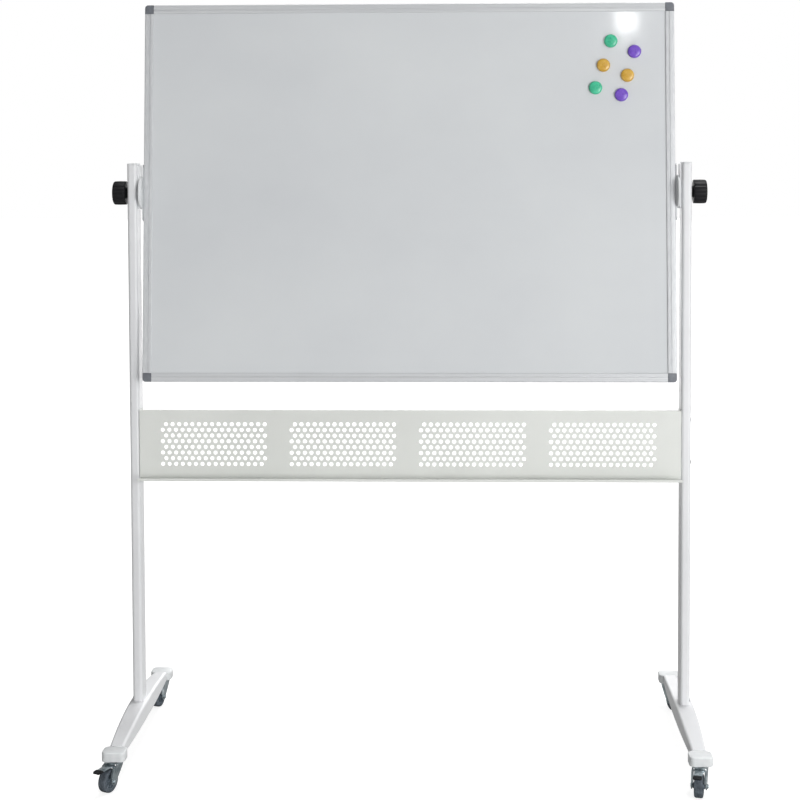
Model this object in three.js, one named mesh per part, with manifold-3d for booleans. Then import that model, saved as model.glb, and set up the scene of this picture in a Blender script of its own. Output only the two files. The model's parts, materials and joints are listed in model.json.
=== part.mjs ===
// Rolling whiteboard: a double-sided board that turns between two posts on a castored stand.
// Millimetres, +Z up. The origin is on the floor, under the middle of the whole footprint.
// The writing side faces -Y.
import * as THREE from 'three';
import { mergeVertices } from 'three/addons/utils/BufferGeometryUtils.js';
import Module from 'manifold-3d';

const wasm = await Module();
wasm.setup();

// Driving dimensions.
const GAP = 0.3; // clearance between pieces that touch
const OVERLAP = 1; // how far joined bodies and cutting tools run into each other
const THROUGH = 200; // half length of a tool that cuts right through
const STAND_SHIFT = 22.5; // stand centre to the middle of the footprint, along Y

const BOARD_WIDTH = 1200;
const BOARD_HEIGHT = 855;
const BOARD_THICKNESS = 22;
const BOARD_LEAN = 5.3; // degrees that the top leans back at rest
const FRAME_FACE = 20; // face width of the aluminium frame
const SHEET_INSET = 13; // board edge to the edge of the sheets inside the frame
const SHEET_THICKNESS = 1;
const CORE_THICKNESS = 14;
const FRAME_EDGE_RADIUS = 3;
const FRAME_WALL = 2;
const GROOVE_WIDTH = 1; // dark line round the frame's face
const GROOVE_DEPTH = 0.8;
const CORNER_RADIUS = 8;
const CORNER_EDGE = 1;
const CORNER_PROUD = 0.4; // above the frame on each face

const POST_SPACING = 1248; // centre to centre
const POST_WIDTH = 22;
const POST_DEPTH = 50;
const POST_RADIUS = 7;
const POST_WALL = 1.5;
const POST_TOP = 1332;
const POST_CAP = 3;
const POST_CAP_EDGE = 1;
const POST_PLUG = 11; // depth of the cap's plug in the tube
const PIVOT_HEIGHT = 1268.5;
const STUD_RADIUS = 5;
const PAD_THICKNESS = 4.7; // doubler plate on the post's inner side
const PAD_DEPTH = 34;
const PAD_DROP = 37; // pad bottom below the pivot
const PAD_TOP = POST_TOP - 1;

const DISC_RADIUS = 37;
const DISC_THICKNESS = 4.4;
const DISC_EDGE = 0.8;
const BRACKET_HEIGHT = 128;
const BRACKET_DEPTH = 18;
const BRACKET_THICKNESS = 3;
const BRACKET_RADIUS = 8;
const KNOB_START = (POST_SPACING + POST_WIDTH) / 2 + 2 * GAP;
const KNOB_RADIUS = 27.5;
const KNOB_LENGTH = 29;
const KNOB_NECK_RADIUS = 12.5;
const KNOB_NECK_LENGTH = 5;
const KNOB_EDGE = 3;
const KNOB_LOBES = 12;
const LOBE_POINTS = 3;
const KNOB_FLUTE = 1.8; // depth of the flutes
const STUD_ENGAGEMENT = 19; // thread inside the grip
const STUD_END_CLEARANCE = 3;

const MAGNET_RADIUS = 15;
const MAGNET_HEIGHT = 8;
const MAGNET_RIM = 5; // height of the straight side
const MAGNET_CROWN = { radius: 13, height: 7.4 };

const PANEL_BOTTOM = 622;
const PANEL_TOP = 776;
const PANEL_SHEET = 1.5;
const PANEL_TOP_FOLD = 6;
const PANEL_END_FLANGE = 36;
const LEDGE_DEPTH = 38;
const LEDGE_LIP = 4.5;
const BOLT_HEIGHTS = { lower: 656, upper: 753 };
const BOLT_RADIUS = 3;
const BOLT_HEAD_RADIUS = 6;
const BOLT_HEAD_HEIGHT = 3.4;
const BOLT_SHOULDER = { radius: 4.5, height: 2.4 };
const NUT_RADIUS = 5;
const NUT_HEIGHT = 5;

const CASTER_Y = 268; // swivel axis to the stand centre
const FOOT_BOTTOM = 65;
const FOOT_TOP = 103;
const FOOT_END_TOP = 85;
const FOOT_WIDTH = 42;
const FOOT_END_WIDTH = 30;
const FOOT_WALL = 2;
const FOOT_LEVEL = POST_DEPTH / 2 + 4; // half length of the level part under the post
const FOOT_BOW = { along: 0.55, drop: 2 }; // control point of the arch, as a share of the length
const CAP_WIDTH = 50;
const CAP_DEPTH = 42;
const CAP_CORNER = 11;
const CAP_BOTTOM = 63;
const CAP_TOP = 83.5;
const CAP_EDGE = 2;
const CAP_CROWN = 4; // thickness over the stem

const WHEEL_RADIUS = 25;
const WHEEL_WIDTH = 18;
const TREAD_EDGE = { radius: 2.5, width: 4 };
const HUB_RADIUS = 18;
const HUB_WIDTH = 15;
const HUB_BOSS_RADIUS = 6;
const HUB_WEB = { radius: 7, drop: 2 };
const WHEEL_TRAIL = 24; // swivel axis to axle
const FORK_WIDTH = 33;
const FORK_WALL = 2.5;
const FORK_TOP = 61;
const FORK_PLATE = 3;
const FORK_EYE = { radius: 8, from: 1.11 * Math.PI, to: 2.06 * Math.PI }; // round the axle
const FORK_SHOULDER = { front: 9, rear: 12 }; // straight drop below the fork's top
const FORK_OVERHANG = { top: 2, shoulder: 10 }; // behind the width of the swivel plate
const CROWN_RADIUS = 12;
const CROWN_BACK = 34.5; // swivel axis to the rear end of the fork's plan
const AXLE_RADIUS = 3;
const NUT_ON_AXLE = { radius: 5, height: 3.5 };
const AXLE_HEAD = { radius: 5, height: 1.2 };
const STEM_HEAD = { radius: 7, height: 3 };
const RACE = { top: 15, bottom: 14 }; // radii of the bearing flange
const PEDAL_REACH = 66; // swivel axis to pedal tip
const PEDAL_WIDTH = 24;
const PEDAL_TIP_WIDTH = 20;
const PEDAL_PIVOT = { x: 17, z: 54.5 };
const PEDAL_PIN_RADIUS = 2;
const PEDAL_HEEL = 4; // behind the pin
const PEDAL_THICKNESS = 4.4;
const PEDAL_TIP_THICKNESS = 2.4;
const PEDAL_NECK = 35; // swivel axis to the narrowing of the pedal
const PEDAL_TIP_RADIUS = 5;

const ROUND_SEGMENTS = 20;
const MIDDLE_SEGMENTS = 16; // magnets and hubs
const SMALL_SEGMENTS = 12; // bolts, pins and their holes
const ARC_SEGMENTS = 3;

// Heading of each wheel from its swivel axis, in degrees from +X towards +Y.
const CASTERS = [
  { name: 'front_left', side: -1, end: -1, heading: -114, brake: true },
  { name: 'front_right', side: 1, end: -1, heading: -104, brake: true },
  { name: 'rear_left', side: -1, end: 1, heading: -104, brake: false },
  { name: 'rear_right', side: 1, end: 1, heading: -68, brake: false },
];

// Magnets on the writing side, from the middle of the board.
const MAGNETS = [
  { name: 'magnet_green_upper', x: 457, z: 340, colour: 0x4ec396 },
  { name: 'magnet_purple_upper', x: 510, z: 316, colour: 0x7d55c8 },
  { name: 'magnet_yellow_left', x: 440, z: 285, colour: 0xd4aa3c },
  { name: 'magnet_yellow_right', x: 494, z: 262, colour: 0xd4aa3c },
  { name: 'magnet_green_lower', x: 422, z: 234, colour: 0x4ec396 },
  { name: 'magnet_purple_lower', x: 480, z: 218, colour: 0x7d55c8 },
];

const WHITE_PAINT = { color: 0xe9e9ea, roughness: 0.45, metalness: 0.05 };
const PANEL_PAINT = { color: 0xdcdedb, roughness: 0.5, metalness: 0.05 };
const WHITE_PLASTIC = { color: 0xe6e8e8, roughness: 0.5, metalness: 0 };
const ALUMINIUM = { color: 0xc6c8ca, roughness: 0.35, metalness: 0.9 };
const GREY_PLASTIC = { color: 0x6e7072, roughness: 0.5, metalness: 0 };
const BLACK_PLASTIC = { color: 0x1c1c20, roughness: 0.55, metalness: 0 };
const WRITING_FACE = { color: 0xd9dddf, roughness: 0.15, metalness: 0 };
const CORE_BOARD = { color: 0xb59a74, roughness: 0.85, metalness: 0 };
const ZINC = { color: 0x8b979c, roughness: 0.35, metalness: 0.9 };
const TYRE_RUBBER = { color: 0x34363c, roughness: 0.8, metalness: 0 };
const HUB_PLASTIC = { color: 0x5c6670, roughness: 0.5, metalness: 0 };

const X_AXIS = new THREE.Vector3(1, 0, 0);
const Y_AXIS = new THREE.Vector3(0, 1, 0);
const Z_AXIS = new THREE.Vector3(0, 0, 1);
// Outlines drawn in (y, z) are extruded along X, and outlines drawn in (x, z) along -Y.
const SIDE_VIEW = new THREE.Matrix4().makeBasis(Y_AXIS, Z_AXIS, X_AXIS);
const FRONT_VIEW = new THREE.Matrix4().makeBasis(X_AXIS, Z_AXIS, Y_AXIS.clone().negate());
const TOP_VIEW = new THREE.Matrix4();

// ---- geometry helpers ----

function merged(geometry) {
  const plain = new THREE.BufferGeometry();
  plain.setAttribute('position', geometry.getAttribute('position').clone());
  if (geometry.index) plain.setIndex(geometry.index.clone());
  return mergeVertices(plain, 1e-4);
}

function solid(geometry) {
  const mesh = merged(geometry);
  const vertProperties = Float32Array.from(mesh.getAttribute('position').array);
  const triVerts = Uint32Array.from(mesh.index.array);
  return new wasm.Manifold(new wasm.Mesh({ numProp: 3, vertProperties, triVerts }));
}

function geometryOf(manifold) {
  const mesh = manifold.getMesh();
  const geometry = new THREE.BufferGeometry();
  geometry.setAttribute('position', new THREE.BufferAttribute(mesh.vertProperties, 3));
  geometry.setIndex(new THREE.BufferAttribute(mesh.triVerts, 1));
  return geometry;
}

function joined(...geometries) {
  return geometryOf(geometries.map(solid).reduce((whole, piece) => whole.add(piece)));
}

function cut(geometry, ...tools) {
  return geometryOf(tools.map(solid).reduce((rest, tool) => rest.subtract(tool), solid(geometry)));
}

function common(a, b) {
  return geometryOf(solid(a).intersect(solid(b)));
}

function block(from, to) {
  const size = to.map((value, i) => value - from[i]);
  const geometry = new THREE.BoxGeometry(...size);
  return geometry.translate(...from.map((value, i) => value + size[i] / 2));
}

function roundedRectangle(width, height, radius) {
  const w = width / 2;
  const h = height / 2;
  const shape = new THREE.Shape();
  shape.moveTo(-w + radius, -h);
  shape.lineTo(w - radius, -h);
  shape.absarc(w - radius, -h + radius, radius, -Math.PI / 2, 0);
  shape.lineTo(w, h - radius);
  shape.absarc(w - radius, h - radius, radius, 0, Math.PI / 2);
  shape.lineTo(-w + radius, h);
  shape.absarc(-w + radius, h - radius, radius, Math.PI / 2, Math.PI);
  shape.lineTo(-w, -h + radius);
  shape.absarc(-w + radius, -h + radius, radius, Math.PI, 1.5 * Math.PI);
  return shape;
}

// A flat piece of the given outline, centred on its thickness.
function slab(shape, thickness, view = TOP_VIEW, edge = 0) {
  const geometry = new THREE.ExtrudeGeometry(shape, {
    depth: thickness - 2 * edge,
    curveSegments: ARC_SEGMENTS,
    bevelEnabled: edge > 0,
    bevelThickness: edge,
    bevelSize: edge,
    bevelOffset: -edge,
    bevelSegments: 1,
  });
  return geometry.translate(0, 0, edge - thickness / 2).applyMatrix4(view);
}

// A turned piece about Z, from its (radius, height) profile.
function turned(profile, segments = ROUND_SEGMENTS) {
  const points = profile.map(([radius, height]) => new THREE.Vector2(radius, height));
  return new THREE.LatheGeometry(points, segments).rotateX(Math.PI / 2);
}

function rod(radius, length, segments = SMALL_SEGMENTS) {
  return new THREE.CylinderGeometry(radius, radius, length, segments).rotateX(Math.PI / 2);
}

function alongX(geometry) {
  return geometry.rotateY(Math.PI / 2);
}

function alongY(geometry) {
  return geometry.rotateX(-Math.PI / 2);
}

// A piece drawn along Z, laid along +X for the right side or along -X for the left.
function onSide(geometry, side) {
  const across = alongX(geometry);
  return side > 0 ? across : across.rotateZ(Math.PI);
}

function add(group, name, geometry, finish) {
  const closed = merged(geometry);
  closed.computeVertexNormals();
  const mesh = new THREE.Mesh(closed, new THREE.MeshStandardMaterial(finish));
  mesh.name = name;
  group.add(mesh);
  return mesh;
}

// ---- stand ----

function makePost(side) {
  const height = POST_TOP - FOOT_TOP - GAP;
  const outline = roundedRectangle(POST_WIDTH, POST_DEPTH, POST_RADIUS);
  const bore = roundedRectangle(
    POST_WIDTH - 2 * POST_WALL,
    POST_DEPTH - 2 * POST_WALL,
    POST_RADIUS - POST_WALL,
  );
  outline.holes.push(bore);
  const tube = slab(outline, height).translate(0, 0, POST_TOP - height / 2);
  const padFrom = -side * (POST_WIDTH / 2 - OVERLAP);
  const padTo = -side * (POST_WIDTH / 2 + PAD_THICKNESS);
  const pad = block(
    [Math.min(padFrom, padTo), -PAD_DEPTH / 2, PIVOT_HEIGHT - PAD_DROP],
    [Math.max(padFrom, padTo), PAD_DEPTH / 2, PAD_TOP],
  );
  const studHole = alongX(rod(STUD_RADIUS + GAP, THROUGH)).translate(0, 0, PIVOT_HEIGHT);
  const boltHoles = Object.values(BOLT_HEIGHTS).map((z) =>
    alongX(rod(BOLT_RADIUS + GAP, THROUGH)).translate(0, 0, z),
  );
  return cut(joined(tube, pad), studHole, ...boltHoles);
}

function makePostCap() {
  const outline = roundedRectangle(POST_WIDTH, POST_DEPTH, POST_RADIUS);
  const lid = slab(outline, POST_CAP, TOP_VIEW, POST_CAP_EDGE).translate(0, 0, POST_CAP / 2);
  const clear = 2 * (POST_WALL + GAP);
  const plug = slab(
    roundedRectangle(POST_WIDTH - clear, POST_DEPTH - clear, POST_RADIUS - POST_WALL),
    POST_PLUG + OVERLAP,
  );
  return joined(lid, plug.translate(0, 0, (OVERLAP - POST_PLUG) / 2));
}

function footProfile(top, endTop, bottom, length) {
  const bowY = FOOT_BOW.along * length;
  const bowZ = top - FOOT_BOW.drop;
  const shape = new THREE.Shape();
  shape.moveTo(-length, bottom);
  shape.lineTo(length, bottom);
  shape.lineTo(length, endTop);
  shape.quadraticCurveTo(bowY, bowZ, FOOT_LEVEL, top);
  shape.lineTo(-FOOT_LEVEL, top);
  shape.quadraticCurveTo(-bowY, bowZ, -length, endTop);
  return shape;
}

function footPlan(width, endWidth, length) {
  const shape = new THREE.Shape();
  shape.moveTo(endWidth / 2, -length);
  shape.quadraticCurveTo(width - endWidth / 2, 0, endWidth / 2, length);
  shape.lineTo(-endWidth / 2, length);
  shape.quadraticCurveTo(endWidth / 2 - width, 0, -endWidth / 2, -length);
  return shape;
}

// An arched channel, open below, that meets the end caps.
function makeFoot() {
  const length = CASTER_Y - CAP_DEPTH / 4;
  const hollowLength = CASTER_Y;
  const side = slab(
    footProfile(FOOT_TOP, FOOT_END_TOP, FOOT_BOTTOM, length),
    THROUGH,
    SIDE_VIEW,
  );
  const plan = slab(footPlan(FOOT_WIDTH, FOOT_END_WIDTH, length), 2 * THROUGH);
  const hollowSide = slab(
    footProfile(FOOT_TOP - FOOT_WALL, FOOT_END_TOP - FOOT_WALL, 0, hollowLength),
    THROUGH,
    SIDE_VIEW,
  );
  const hollowPlan = slab(
    footPlan(FOOT_WIDTH - 2 * FOOT_WALL, FOOT_END_WIDTH - 2 * FOOT_WALL, hollowLength),
    2 * THROUGH,
  );
  const clear = 4 * GAP;
  const outline = roundedRectangle(CAP_WIDTH + clear, CAP_DEPTH + clear, CAP_CORNER);
  const ends = [-1, 1].map((end) => slab(outline, 2 * THROUGH).translate(0, end * CASTER_Y, 0));
  return cut(common(side, plan), common(hollowSide, hollowPlan), ...ends);
}

function makeFootCap() {
  const height = CAP_TOP - CAP_BOTTOM;
  const outline = roundedRectangle(CAP_WIDTH, CAP_DEPTH, CAP_CORNER);
  const body = slab(outline, height, TOP_VIEW, CAP_EDGE).translate(0, 0, CAP_BOTTOM + height / 2);
  const from = CAP_BOTTOM - OVERLAP;
  const to = CAP_TOP - CAP_CROWN;
  const bore = rod(STUD_RADIUS + GAP, to - from).translate(0, 0, (from + to) / 2);
  return cut(body, bore);
}

// A bent sheet: face, narrow top fold, end flanges, and pen ledge with its front lip.
function makeModestyPanel() {
  const half = (POST_SPACING - POST_WIDTH) / 2 - GAP;
  const front = -POST_DEPTH / 2;
  const back = front + PANEL_SHEET;
  const ledgeFront = front - LEDGE_DEPTH;
  const face = block([-half, front, PANEL_BOTTOM - PANEL_SHEET], [half, back, PANEL_TOP]);
  const topFold = block(
    [-half, front, PANEL_TOP - PANEL_SHEET],
    [half, front + PANEL_TOP_FOLD, PANEL_TOP],
  );
  const ledge = block([-half, ledgeFront, PANEL_BOTTOM - PANEL_SHEET], [half, back, PANEL_BOTTOM]);
  const lip = block(
    [-half, ledgeFront, PANEL_BOTTOM - PANEL_SHEET],
    [half, ledgeFront + PANEL_SHEET, PANEL_BOTTOM + LEDGE_LIP],
  );
  const ends = [-1, 1].map((side) =>
    block(
      [Math.min(side * half, side * (half - PANEL_SHEET)), front, PANEL_BOTTOM],
      [Math.max(side * half, side * (half - PANEL_SHEET)), front + PANEL_END_FLANGE, PANEL_TOP],
    ),
  );
  const holes = Object.values(BOLT_HEIGHTS).map((z) =>
    alongX(rod(BOLT_RADIUS + GAP, 2 * POST_SPACING)).translate(0, 0, z),
  );
  return cut(joined(face, topFold, ledge, lip, ...ends), ...holes);
}

// A dome-headed bolt through the post and the panel's end flange, with its nut, along X.
function makePanelBolt(side) {
  const outer = POST_WIDTH / 2 + GAP;
  const nut = -POST_WIDTH / 2 - PANEL_SHEET - 2 * GAP;
  const bolt = turned(
    [
      [0, nut - NUT_HEIGHT],
      [NUT_RADIUS, nut - NUT_HEIGHT],
      [NUT_RADIUS, nut],
      [BOLT_RADIUS, nut],
      [BOLT_RADIUS, outer],
      [BOLT_HEAD_RADIUS, outer],
      [BOLT_SHOULDER.radius, outer + BOLT_SHOULDER.height],
      [0, outer + BOLT_HEAD_HEIGHT],
    ],
    SMALL_SEGMENTS,
  );
  return onSide(bolt, side);
}

// ---- pivot ----

function makeFrictionDisc(side) {
  const bore = STUD_RADIUS + GAP;
  const from = BOARD_WIDTH / 2 + GAP + BRACKET_THICKNESS + GAP;
  const to = from + DISC_THICKNESS;
  const disc = turned([
    [bore, from],
    [DISC_RADIUS - DISC_EDGE, from],
    [DISC_RADIUS, from + DISC_EDGE],
    [DISC_RADIUS, to],
    [bore, to],
    [bore, from],
  ]);
  return onSide(disc, side);
}

// The plate on the board's edge and the threaded stud that carries the board.
function makePivotBracket(side) {
  const from = BOARD_WIDTH / 2 + GAP;
  const plate = slab(
    roundedRectangle(BRACKET_DEPTH, BRACKET_HEIGHT, BRACKET_RADIUS),
    BRACKET_THICKNESS,
    SIDE_VIEW,
  );
  plate.translate(side * (from + BRACKET_THICKNESS / 2), 0, 0);
  const root = from + OVERLAP;
  const tip = KNOB_START + KNOB_NECK_LENGTH + STUD_ENGAGEMENT;
  const stud = alongX(rod(STUD_RADIUS, tip - root)).translate((side * (tip + root)) / 2, 0, 0);
  return joined(plate, stud);
}

function knobOutline() {
  const shape = new THREE.Shape();
  const steps = KNOB_LOBES * LOBE_POINTS;
  for (let i = 0; i < steps; i += 1) {
    const angle = (2 * Math.PI * i) / steps;
    const radius = KNOB_RADIUS - (i % LOBE_POINTS === 0 ? KNOB_FLUTE : 0);
    const point = [radius * Math.cos(angle), radius * Math.sin(angle)];
    if (i === 0) shape.moveTo(...point);
    else shape.lineTo(...point);
  }
  return shape;
}

function makeKnob(side) {
  const gripMiddle = KNOB_START + KNOB_NECK_LENGTH + KNOB_LENGTH / 2;
  const grip = slab(knobOutline(), KNOB_LENGTH, TOP_VIEW, KNOB_EDGE).translate(0, 0, gripMiddle);
  const neckMiddle = KNOB_START + (KNOB_NECK_LENGTH + OVERLAP) / 2;
  const neck = rod(KNOB_NECK_RADIUS, KNOB_NECK_LENGTH + OVERLAP).translate(0, 0, neckMiddle);
  const depth = KNOB_NECK_LENGTH + STUD_ENGAGEMENT + STUD_END_CLEARANCE;
  const boreMiddle = KNOB_START + (depth - OVERLAP) / 2;
  const bore = rod(STUD_RADIUS + GAP, depth + OVERLAP).translate(0, 0, boreMiddle);
  return onSide(cut(joined(grip, neck), bore), side);
}

// ---- board ----

// Section of the frame profile: x inwards from the board's edge, y through the thickness.
function frameSection() {
  const half = BOARD_THICKNESS / 2;
  const slot = CORE_THICKNESS / 2 + SHEET_THICKNESS + 2 * GAP;
  const slotEnd = SHEET_INSET - GAP;
  const groove = [slotEnd - GROOVE_WIDTH, slotEnd];
  const floor = half - GROOVE_DEPTH;
  const radius = FRAME_EDGE_RADIUS;
  const shape = new THREE.Shape();
  shape.moveTo(FRAME_FACE, half);
  shape.lineTo(groove[1], half);
  shape.lineTo(groove[1], floor);
  shape.lineTo(groove[0], floor);
  shape.lineTo(groove[0], half);
  shape.lineTo(radius, half);
  shape.absarc(radius, half - radius, radius, Math.PI / 2, Math.PI);
  shape.lineTo(0, radius - half);
  shape.absarc(radius, radius - half, radius, Math.PI, 1.5 * Math.PI);
  shape.lineTo(groove[0], -half);
  shape.lineTo(groove[0], -floor);
  shape.lineTo(groove[1], -floor);
  shape.lineTo(groove[1], -half);
  shape.lineTo(FRAME_FACE, -half);
  shape.lineTo(FRAME_FACE, -slot);
  shape.lineTo(slotEnd, -slot);
  shape.lineTo(slotEnd, slot);
  shape.lineTo(FRAME_FACE, slot);
  const cell = new THREE.Path();
  cell.moveTo(FRAME_WALL, -slot);
  cell.lineTo(FRAME_WALL, slot);
  cell.lineTo(slotEnd - FRAME_WALL, slot);
  cell.lineTo(slotEnd - FRAME_WALL, -slot);
  shape.holes.push(cell);
  return shape;
}

// A length of frame along X, with its outer edge at z = 0 and the board below it.
function makeRail(length) {
  const down = Z_AXIS.clone().negate();
  const back = Y_AXIS.clone().negate();
  const view = new THREE.Matrix4().makeBasis(down, back, X_AXIS.clone().negate());
  return slab(frameSection(), length, view);
}

// The top right corner piece, with its outer corner at the origin.
function makeCorner() {
  const shape = new THREE.Shape();
  shape.moveTo(-FRAME_FACE, -FRAME_FACE);
  shape.lineTo(0, -FRAME_FACE);
  shape.lineTo(0, -CORNER_RADIUS);
  shape.absarc(-CORNER_RADIUS, -CORNER_RADIUS, CORNER_RADIUS, 0, Math.PI / 2);
  shape.lineTo(-FRAME_FACE, 0);
  const body = slab(shape, BOARD_THICKNESS + 2 * CORNER_PROUD, FRONT_VIEW, CORNER_EDGE);
  const slot = CORE_THICKNESS / 2 + SHEET_THICKNESS + 2 * GAP;
  const inset = SHEET_INSET - GAP;
  const pocket = block([-2 * FRAME_FACE, -slot, -2 * FRAME_FACE], [-inset, slot, -inset]);
  return cut(body, pocket);
}

function makeSheet(thickness) {
  const width = BOARD_WIDTH - 2 * SHEET_INSET;
  const height = BOARD_HEIGHT - 2 * SHEET_INSET;
  return new THREE.BoxGeometry(width, thickness, height);
}

function makeMagnet() {
  const magnet = turned(
    [
      [0, 0],
      [MAGNET_RADIUS, 0],
      [MAGNET_RADIUS, MAGNET_RIM],
      [MAGNET_CROWN.radius, MAGNET_CROWN.height],
      [0, MAGNET_HEIGHT],
    ],
    MIDDLE_SEGMENTS,
  );
  return magnet.rotateX(Math.PI / 2);
}

function makeBoard() {
  const board = new THREE.Group();
  board.position.z = PIVOT_HEIGHT;
  board.rotation.x = -THREE.MathUtils.degToRad(BOARD_LEAN);
  const w = BOARD_WIDTH / 2;
  const h = BOARD_HEIGHT / 2;
  const rails = [
    { name: 'frame_rail_top', turn: 0, x: 0, z: h, side: BOARD_WIDTH },
    { name: 'frame_rail_bottom', turn: Math.PI, x: 0, z: -h, side: BOARD_WIDTH },
    { name: 'frame_stile_right', turn: Math.PI / 2, x: w, z: 0, side: BOARD_HEIGHT },
    { name: 'frame_stile_left', turn: -Math.PI / 2, x: -w, z: 0, side: BOARD_HEIGHT },
  ];
  for (const { name, turn, x, z, side } of rails) {
    const length = side - 2 * (FRAME_FACE + GAP);
    add(board, name, makeRail(length).rotateY(turn).translate(x, 0, z), ALUMINIUM);
  }

  const corners = [
    { name: 'frame_corner_top_right', turn: 0, x: w, z: h },
    { name: 'frame_corner_bottom_right', turn: Math.PI / 2, x: w, z: -h },
    { name: 'frame_corner_bottom_left', turn: Math.PI, x: -w, z: -h },
    { name: 'frame_corner_top_left', turn: -Math.PI / 2, x: -w, z: h },
  ];
  for (const { name, turn, x, z } of corners) {
    add(board, name, makeCorner().rotateY(turn).translate(x, 0, z), GREY_PLASTIC);
  }

  add(board, 'board_core', makeSheet(CORE_THICKNESS), CORE_BOARD);
  const sheetY = CORE_THICKNESS / 2 + GAP + SHEET_THICKNESS / 2;
  for (const [face, y] of [['front', -sheetY], ['back', sheetY]]) {
    add(board, `writing_sheet_${face}`, makeSheet(SHEET_THICKNESS).translate(0, y, 0), WRITING_FACE);
  }

  const faceY = -(sheetY + SHEET_THICKNESS / 2 + GAP);
  for (const magnet of MAGNETS) {
    const finish = { color: magnet.colour, roughness: 0.35, metalness: 0 };
    add(board, magnet.name, makeMagnet().translate(magnet.x, faceY, magnet.z), finish);
  }

  add(board, 'pivot_bracket_left', makePivotBracket(-1), ALUMINIUM);
  add(board, 'pivot_bracket_right', makePivotBracket(1), ALUMINIUM);
  return board;
}

// ---- casters, drawn with the wheel trailing along +X from the swivel axis ----

// Swivel pin with its bearing flange above the fork and its rivet head below the plate.
function makeStem() {
  const plateBottom = FORK_TOP - FORK_PLATE;
  const stemTop = CAP_TOP - CAP_CROWN - OVERLAP;
  return turned(
    [
      [0, plateBottom - STEM_HEAD.height],
      [STEM_HEAD.radius, plateBottom - STEM_HEAD.height],
      [STEM_HEAD.radius, plateBottom - GAP],
      [STUD_RADIUS, plateBottom - GAP],
      [STUD_RADIUS, FORK_TOP + GAP],
      [RACE.bottom, FORK_TOP + GAP],
      [RACE.top, CAP_BOTTOM - GAP],
      [STUD_RADIUS, CAP_BOTTOM - GAP],
      [STUD_RADIUS, stemTop],
      [0, stemTop],
    ],
    SMALL_SEGMENTS,
  );
}

function forkSide() {
  const reach = FORK_WIDTH / 2;
  const { radius, from, to } = FORK_EYE;
  const shape = new THREE.Shape();
  shape.moveTo(-reach, FORK_TOP);
  shape.lineTo(-reach, FORK_TOP - FORK_SHOULDER.front);
  shape.absarc(WHEEL_TRAIL, WHEEL_RADIUS, radius, from, to);
  shape.lineTo(reach + FORK_OVERHANG.shoulder, FORK_TOP - FORK_SHOULDER.rear);
  shape.lineTo(reach + FORK_OVERHANG.top, FORK_TOP);
  return shape;
}

// A pressed fork, rounded in plan, with a leg on each side of the wheel.
function makeFork() {
  const front = -FORK_WIDTH / 2;
  const side = slab(forkSide(), FORK_WIDTH + OVERLAP, FRONT_VIEW);
  const plan = roundedRectangle(CROWN_BACK - front, FORK_WIDTH, CROWN_RADIUS);
  const crown = slab(plan, THROUGH).translate((CROWN_BACK + front) / 2, 0, 0);
  const inner = FORK_WIDTH / 2 - FORK_WALL;
  const wheelSpace = block([-THROUGH, -inner, 0], [THROUGH, inner, FORK_TOP - FORK_PLATE]);
  const swivelHole = rod(STUD_RADIUS + GAP, THROUGH);
  const axleHole = alongY(rod(AXLE_RADIUS + GAP, THROUGH)).translate(WHEEL_TRAIL, 0, WHEEL_RADIUS);
  return cut(common(side, crown), wheelSpace, swivelHole, axleHole);
}

function makeHub() {
  const bore = AXLE_RADIUS + GAP;
  const half = HUB_WIDTH / 2;
  const boss = FORK_WIDTH / 2 - FORK_WALL - GAP;
  const rim = HUB_RADIUS - GAP;
  const hub = turned(
    [
      [bore, -boss],
      [HUB_BOSS_RADIUS, -boss],
      [HUB_WEB.radius, HUB_WEB.drop - half],
      [rim, -half],
      [rim, half],
      [HUB_WEB.radius, half - HUB_WEB.drop],
      [HUB_BOSS_RADIUS, boss],
      [bore, boss],
      [bore, -boss],
    ],
    MIDDLE_SEGMENTS,
  );
  return alongY(hub).translate(WHEEL_TRAIL, 0, WHEEL_RADIUS);
}

function makeTyre() {
  const half = WHEEL_WIDTH / 2;
  const shoulder = WHEEL_RADIUS - TREAD_EDGE.radius;
  const tread = half - TREAD_EDGE.width;
  const tyre = turned([
    [HUB_RADIUS, -half],
    [shoulder, -half],
    [WHEEL_RADIUS, -tread],
    [WHEEL_RADIUS, tread],
    [shoulder, half],
    [HUB_RADIUS, half],
    [HUB_RADIUS, -half],
  ]);
  return alongY(tyre).translate(WHEEL_TRAIL, 0, WHEEL_RADIUS);
}

function makeAxle() {
  const outside = FORK_WIDTH / 2 + GAP;
  const end = outside + NUT_ON_AXLE.height;
  const headEnd = outside + AXLE_HEAD.height;
  const axle = turned(
    [
      [0, -headEnd],
      [AXLE_HEAD.radius, -headEnd],
      [AXLE_HEAD.radius, -outside],
      [AXLE_RADIUS, -outside],
      [AXLE_RADIUS, outside],
      [NUT_ON_AXLE.radius, outside],
      [NUT_ON_AXLE.radius, end],
      [0, end],
    ],
    SMALL_SEGMENTS,
  );
  return alongY(axle).translate(WHEEL_TRAIL, 0, WHEEL_RADIUS);
}

// Side of the lever: a straight wedge, thicker round the pin than at the tip.
function pedalSide() {
  const { x, z } = PEDAL_PIVOT;
  const half = PEDAL_THICKNESS / 2;
  const tip = PEDAL_TIP_THICKNESS / 2;
  const shape = new THREE.Shape();
  shape.moveTo(x - PEDAL_HEEL, z + half);
  shape.lineTo(x - PEDAL_HEEL, z - half);
  shape.lineTo(PEDAL_NECK, z - half);
  shape.lineTo(PEDAL_REACH, z - tip);
  shape.lineTo(PEDAL_REACH, z + tip);
  shape.lineTo(PEDAL_NECK, z + half);
  return shape;
}

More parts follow.
